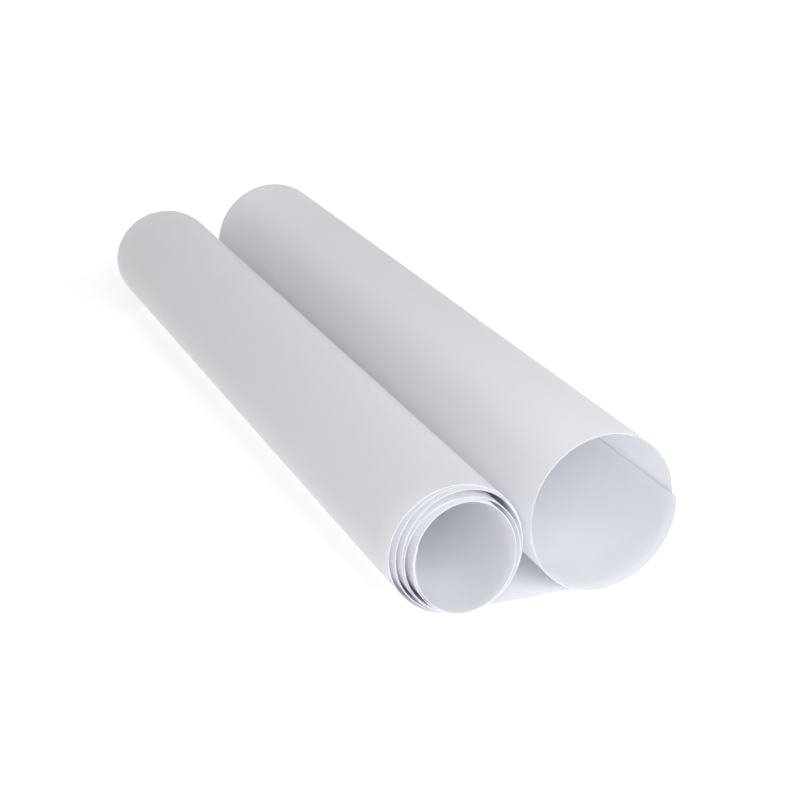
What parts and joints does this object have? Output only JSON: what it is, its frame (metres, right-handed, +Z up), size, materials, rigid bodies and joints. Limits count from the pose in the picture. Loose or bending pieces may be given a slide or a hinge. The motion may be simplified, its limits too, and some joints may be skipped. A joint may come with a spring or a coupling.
{
  "type": "backdrop paper roll",
  "caption": "Plain backdrop paper sheet, wound into a tight roll at one end and a loose curl at the other, lying side by side.",
  "frame": {"origin": "middle of the footprint, on the surface the sheet lies on", "axes": "+Y along both rolls, from the front to the far end; +X from the tight roll to the loose curl; +Z up"},
  "size_m": [0.194, 0.6094, 0.103],
  "materials": {
    "paper": "matte"
  },
  "bodies": {
    "web": {"web": "paper"},
    "left_strip_01": {"left_strip_01": "paper"},
    "left_strip_02": {"left_strip_02": "paper"},
    "left_strip_03": {"left_strip_03": "paper"},
    "left_strip_04": {"left_strip_04": "paper"},
    "left_strip_05": {"left_strip_05": "paper"},
    "left_strip_06": {"left_strip_06": "paper"},
    "left_strip_07": {"left_strip_07": "paper"},
    "left_strip_08": {"left_strip_08": "paper"},
    "left_strip_09": {"left_strip_09": "paper"},
    "left_strip_10": {"left_strip_10": "paper"},
    "left_strip_11": {"left_strip_11": "paper"},
    "left_strip_12": {"left_strip_12": "paper"},
    "left_strip_13": {"left_strip_13": "paper"},
    "left_strip_14": {"left_strip_14": "paper"},
    "left_strip_15": {"left_strip_15": "paper"},
    "left_strip_16": {"left_strip_16": "paper"},
    "left_strip_17": {"left_strip_17": "paper"},
    "left_turn_1": {"left_turn_1": "paper"},
    "right_strip_01": {"right_strip_01": "paper"},
    "right_strip_02": {"right_strip_02": "paper"},
    "right_strip_03": {"right_strip_03": "paper"},
    "right_strip_04": {"right_strip_04": "paper"},
    "right_strip_05": {"right_strip_05": "paper"},
    "right_strip_06": {"right_strip_06": "paper"},
    "right_strip_07": {"right_strip_07": "paper"},
    "right_strip_08": {"right_strip_08": "paper"},
    "right_strip_09": {"right_strip_09": "paper"},
    "right_strip_10": {"right_strip_10": "paper"},
    "right_strip_11": {"right_strip_11": "paper"},
    "right_strip_12": {"right_strip_12": "paper"},
    "right_strip_13": {"right_strip_13": "paper"},
    "right_strip_14": {"right_strip_14": "paper"},
    "right_strip_15": {"right_strip_15": "paper"},
    "right_strip_16": {"right_strip_16": "paper"},
    "right_strip_17": {"right_strip_17": "paper"},
    "right_turn_1": {"right_turn_1": "paper"},
    "left_turn_2": {"left_turn_2": "paper"},
    "left_turn_3": {"left_turn_3": "paper"},
    "left_turn_4": {"left_turn_4": "paper"},
    "left_core_turn": {"left_core_turn": "paper"},
    "right_inner_end": {"right_inner_end": "paper"}
  },
  "joints": [
    {"name": "left_unroll", "type": "hinge", "parent": "web", "child": "left_strip_01", "pos_m": [-0.05729, 0, 0.00017], "axis": [0, -1, 0], "range_deg": [0, 10], "stiffness_Nm_per_rad": 0.5},
    {"name": "left_unroll_02", "type": "hinge", "parent": "left_strip_01", "child": "left_strip_02", "pos_m": [-0.06476, 0, 0.00148], "axis": [0, -1, 0], "range_deg": [0, 10], "stiffness_Nm_per_rad": 0.5},
    {"name": "left_unroll_03", "type": "hinge", "parent": "left_strip_02", "child": "left_strip_03", "pos_m": [-0.07188, 0, 0.00408], "axis": [0, -1, 0], "range_deg": [0, 10], "stiffness_Nm_per_rad": 0.5},
    {"name": "left_unroll_04", "type": "hinge", "parent": "left_strip_03", "child": "left_strip_04", "pos_m": [-0.07845, 0, 0.00787], "axis": [0, -1, 0], "range_deg": [0, 10], "stiffness_Nm_per_rad": 0.5},
    {"name": "left_unroll_05", "type": "hinge", "parent": "left_strip_04", "child": "left_strip_05", "pos_m": [-0.08426, 0, 0.01274], "axis": [0, -1, 0], "range_deg": [0, 10], "stiffness_Nm_per_rad": 0.5},
    {"name": "left_unroll_06", "type": "hinge", "parent": "left_strip_05", "child": "left_strip_06", "pos_m": [-0.08913, 0, 0.01855], "axis": [0, -1, 0], "range_deg": [0, 10], "stiffness_Nm_per_rad": 0.5},
    {"name": "left_unroll_07", "type": "hinge", "parent": "left_strip_06", "child": "left_strip_07", "pos_m": [-0.09292, 0, 0.02512], "axis": [0, -1, 0], "range_deg": [0, 10], "stiffness_Nm_per_rad": 0.5},
    {"name": "left_unroll_08", "type": "hinge", "parent": "left_strip_07", "child": "left_strip_08", "pos_m": [-0.09552, 0, 0.03224], "axis": [0, -1, 0], "range_deg": [0, 10], "stiffness_Nm_per_rad": 0.5},
    {"name": "left_unroll_09", "type": "hinge", "parent": "left_strip_08", "child": "left_strip_09", "pos_m": [-0.09683, 0, 0.03971], "axis": [0, -1, 0], "range_deg": [0, 10], "stiffness_Nm_per_rad": 0.5},
    {"name": "left_unroll_10", "type": "hinge", "parent": "left_strip_09", "child": "left_strip_10", "pos_m": [-0.09683, 0, 0.04729], "axis": [0, -1, 0], "range_deg": [0, 10], "stiffness_Nm_per_rad": 0.5},
    {"name": "left_unroll_11", "type": "hinge", "parent": "left_strip_10", "child": "left_strip_11", "pos_m": [-0.09552, 0, 0.05476], "axis": [0, -1, 0], "range_deg": [0, 10], "stiffness_Nm_per_rad": 0.5},
    {"name": "left_unroll_12", "type": "hinge", "parent": "left_strip_11", "child": "left_strip_12", "pos_m": [-0.09292, 0, 0.06188], "axis": [0, -1, 0], "range_deg": [0, 10], "stiffness_Nm_per_rad": 0.5},
    {"name": "left_unroll_13", "type": "hinge", "parent": "left_strip_12", "child": "left_strip_13", "pos_m": [-0.08913, 0, 0.06845], "axis": [0, -1, 0], "range_deg": [0, 10], "stiffness_Nm_per_rad": 0.5},
    {"name": "left_unroll_14", "type": "hinge", "parent": "left_strip_13", "child": "left_strip_14", "pos_m": [-0.08426, 0, 0.07426], "axis": [0, -1, 0], "range_deg": [0, 10], "stiffness_Nm_per_rad": 0.5},
    {"name": "left_unroll_15", "type": "hinge", "parent": "left_strip_14", "child": "left_strip_15", "pos_m": [-0.07845, 0, 0.07913], "axis": [0, -1, 0], "range_deg": [0, 10], "stiffness_Nm_per_rad": 0.5},
    {"name": "left_unroll_16", "type": "hinge", "parent": "left_strip_15", "child": "left_strip_16", "pos_m": [-0.07188, 0, 0.08292], "axis": [0, -1, 0], "range_deg": [0, 10], "stiffness_Nm_per_rad": 0.5},
    {"name": "left_unroll_17", "type": "hinge", "parent": "left_strip_16", "child": "left_strip_17", "pos_m": [-0.06476, 0, 0.08552], "axis": [0, -1, 0], "range_deg": [0, 10], "stiffness_Nm_per_rad": 0.5},
    {"name": "left_unroll_18", "type": "hinge", "parent": "left_strip_17", "child": "left_turn_1", "pos_m": [-0.05729, 0, 0.08683], "axis": [0, -1, 0], "range_deg": [0, 10], "stiffness_Nm_per_rad": 0.5},
    {"name": "right_unroll", "type": "hinge", "parent": "web", "child": "right_strip_01", "pos_m": [0.04999, 0, 0.0002], "axis": [0, 1, 0], "range_deg": [0, 10], "stiffness_Nm_per_rad": 0.5},
    {"name": "right_unroll_02", "type": "hinge", "parent": "right_strip_01", "child": "right_strip_02", "pos_m": [0.05883, 0, 0.00175], "axis": [0, 1, 0], "range_deg": [0, 10], "stiffness_Nm_per_rad": 0.5},
    {"name": "right_unroll_03", "type": "hinge", "parent": "right_strip_02", "child": "right_strip_03", "pos_m": [0.06726, 0, 0.00483], "axis": [0, 1, 0], "range_deg": [0, 10], "stiffness_Nm_per_rad": 0.5},
    {"name": "right_unroll_04", "type": "hinge", "parent": "right_strip_03", "child": "right_strip_04", "pos_m": [0.07504, 0, 0.00931], "axis": [0, 1, 0], "range_deg": [0, 10], "stiffness_Nm_per_rad": 0.5},
    {"name": "right_unroll_05", "type": "hinge", "parent": "right_strip_04", "child": "right_strip_05", "pos_m": [0.08192, 0, 0.01508], "axis": [0, 1, 0], "range_deg": [0, 10], "stiffness_Nm_per_rad": 0.5},
    {"name": "right_unroll_06", "type": "hinge", "parent": "right_strip_05", "child": "right_strip_06", "pos_m": [0.08769, 0, 0.02196], "axis": [0, 1, 0], "range_deg": [0, 10], "stiffness_Nm_per_rad": 0.5},
    {"name": "right_unroll_07", "type": "hinge", "parent": "right_strip_06", "child": "right_strip_07", "pos_m": [0.09217, 0, 0.02974], "axis": [0, 1, 0], "range_deg": [0, 10], "stiffness_Nm_per_rad": 0.5},
    {"name": "right_unroll_08", "type": "hinge", "parent": "right_strip_07", "child": "right_strip_08", "pos_m": [0.09525, 0, 0.03817], "axis": [0, 1, 0], "range_deg": [0, 10], "stiffness_Nm_per_rad": 0.5},
    {"name": "right_unroll_09", "type": "hinge", "parent": "right_strip_08", "child": "right_strip_09", "pos_m": [0.0968, 0, 0.04701], "axis": [0, 1, 0], "range_deg": [0, 10], "stiffness_Nm_per_rad": 0.5},
    {"name": "right_unroll_10", "type": "hinge", "parent": "right_strip_09", "child": "right_strip_10", "pos_m": [0.0968, 0, 0.05599], "axis": [0, 1, 0], "range_deg": [0, 10], "stiffness_Nm_per_rad": 0.5},
    {"name": "right_unroll_11", "type": "hinge", "parent": "right_strip_10", "child": "right_strip_11", "pos_m": [0.09525, 0, 0.06483], "axis": [0, 1, 0], "range_deg": [0, 10], "stiffness_Nm_per_rad": 0.5},
    {"name": "right_unroll_12", "type": "hinge", "parent": "right_strip_11", "child": "right_strip_12", "pos_m": [0.09217, 0, 0.07326], "axis": [0, 1, 0], "range_deg": [0, 10], "stiffness_Nm_per_rad": 0.5},
    {"name": "right_unroll_13", "type": "hinge", "parent": "right_strip_12", "child": "right_strip_13", "pos_m": [0.08769, 0, 0.08104], "axis": [0, 1, 0], "range_deg": [0, 10], "stiffness_Nm_per_rad": 0.5},
    {"name": "right_unroll_14", "type": "hinge", "parent": "right_strip_13", "child": "right_strip_14", "pos_m": [0.08192, 0, 0.08792], "axis": [0, 1, 0], "range_deg": [0, 10], "stiffness_Nm_per_rad": 0.5},
    {"name": "right_unroll_15", "type": "hinge", "parent": "right_strip_14", "child": "right_strip_15", "pos_m": [0.07504, 0, 0.09369], "axis": [0, 1, 0], "range_deg": [0, 10], "stiffness_Nm_per_rad": 0.5},
    {"name": "right_unroll_16", "type": "hinge", "parent": "right_strip_15", "child": "right_strip_16", "pos_m": [0.06726, 0, 0.09817], "axis": [0, 1, 0], "range_deg": [0, 10], "stiffness_Nm_per_rad": 0.5},
    {"name": "right_unroll_17", "type": "hinge", "parent": "right_strip_16", "child": "right_strip_17", "pos_m": [0.05883, 0, 0.10125], "axis": [0, 1, 0], "range_deg": [0, 10], "stiffness_Nm_per_rad": 0.5},
    {"name": "right_unroll_18", "type": "hinge", "parent": "right_strip_17", "child": "right_turn_1", "pos_m": [0.04999, 0, 0.1028], "axis": [0, 1, 0], "range_deg": [0, 10], "stiffness_Nm_per_rad": 0.5},
    {"name": "left_telescope_2", "type": "slide", "parent": "left_turn_1", "child": "left_turn_2", "axis": [0, -1, 0], "range_m": [-0.001, 0.001]},
    {"name": "left_telescope_3", "type": "slide", "parent": "left_turn_2", "child": "left_turn_3", "axis": [0, -1, 0], "range_m": [-0.003, 0.003]},
    {"name": "left_telescope_4", "type": "slide", "parent": "left_turn_3", "child": "left_turn_4", "axis": [0, -1, 0], "range_m": [-0.0015, 0.0015]},
    {"name": "left_telescope", "type": "slide", "parent": "left_turn_4", "child": "left_core_turn", "axis": [0, -1, 0], "range_m": [-0.004, 0.004]},
    {"name": "right_telescope", "type": "slide", "parent": "right_turn_1", "child": "right_inner_end", "axis": [0, -1, 0], "range_m": [-0.0072, 0.0072]}
  ],
  "couplings": [
    {"joint": "left_unroll_02", "follows": "left_unroll", "ratio": 1},
    {"joint": "left_unroll_03", "follows": "left_unroll", "ratio": 1},
    {"joint": "left_unroll_04", "follows": "left_unroll", "ratio": 1},
    {"joint": "left_unroll_05", "follows": "left_unroll", "ratio": 1},
    {"joint": "left_unroll_06", "follows": "left_unroll", "ratio": 1},
    {"joint": "left_unroll_07", "follows": "left_unroll", "ratio": 1},
    {"joint": "left_unroll_08", "follows": "left_unroll", "ratio": 1},
    {"joint": "left_unroll_09", "follows": "left_unroll", "ratio": 1},
    {"joint": "left_unroll_10", "follows": "left_unroll", "ratio": 1},
    {"joint": "left_unroll_11", "follows": "left_unroll", "ratio": 1},
    {"joint": "left_unroll_12", "follows": "left_unroll", "ratio": 1},
    {"joint": "left_unroll_13", "follows": "left_unroll", "ratio": 1},
    {"joint": "left_unroll_14", "follows": "left_unroll", "ratio": 1},
    {"joint": "left_unroll_15", "follows": "left_unroll", "ratio": 1},
    {"joint": "left_unroll_16", "follows": "left_unroll", "ratio": 1},
    {"joint": "left_unroll_17", "follows": "left_unroll", "ratio": 1},
    {"joint": "left_unroll_18", "follows": "left_unroll", "ratio": 1},
    {"joint": "right_unroll_02", "follows": "right_unroll", "ratio": 1},
    {"joint": "right_unroll_03", "follows": "right_unroll", "ratio": 1},
    {"joint": "right_unroll_04", "follows": "right_unroll", "ratio": 1},
    {"joint": "right_unroll_05", "follows": "right_unroll", "ratio": 1},
    {"joint": "right_unroll_06", "follows": "right_unroll", "ratio": 1},
    {"joint": "right_unroll_07", "follows": "right_unroll", "ratio": 1},
    {"joint": "right_unroll_08", "follows": "right_unroll", "ratio": 1},
    {"joint": "right_unroll_09", "follows": "right_unroll", "ratio": 1},
    {"joint": "right_unroll_10", "follows": "right_unroll", "ratio": 1},
    {"joint": "right_unroll_11", "follows": "right_unroll", "ratio": 1},
    {"joint": "right_unroll_12", "follows": "right_unroll", "ratio": 1},
    {"joint": "right_unroll_13", "follows": "right_unroll", "ratio": 1},
    {"joint": "right_unroll_14", "follows": "right_unroll", "ratio": 1},
    {"joint": "right_unroll_15", "follows": "right_unroll", "ratio": 1},
    {"joint": "right_unroll_16", "follows": "right_unroll", "ratio": 1},
    {"joint": "right_unroll_17", "follows": "right_unroll", "ratio": 1},
    {"joint": "right_unroll_18", "follows": "right_unroll", "ratio": 1},
    {"joint": "left_telescope_2", "follows": "left_telescope", "ratio": 0.25},
    {"joint": "left_telescope_3", "follows": "left_telescope", "ratio": 0.75},
    {"joint": "left_telescope_4", "follows": "left_telescope", "ratio": 0.375}
  ]
}
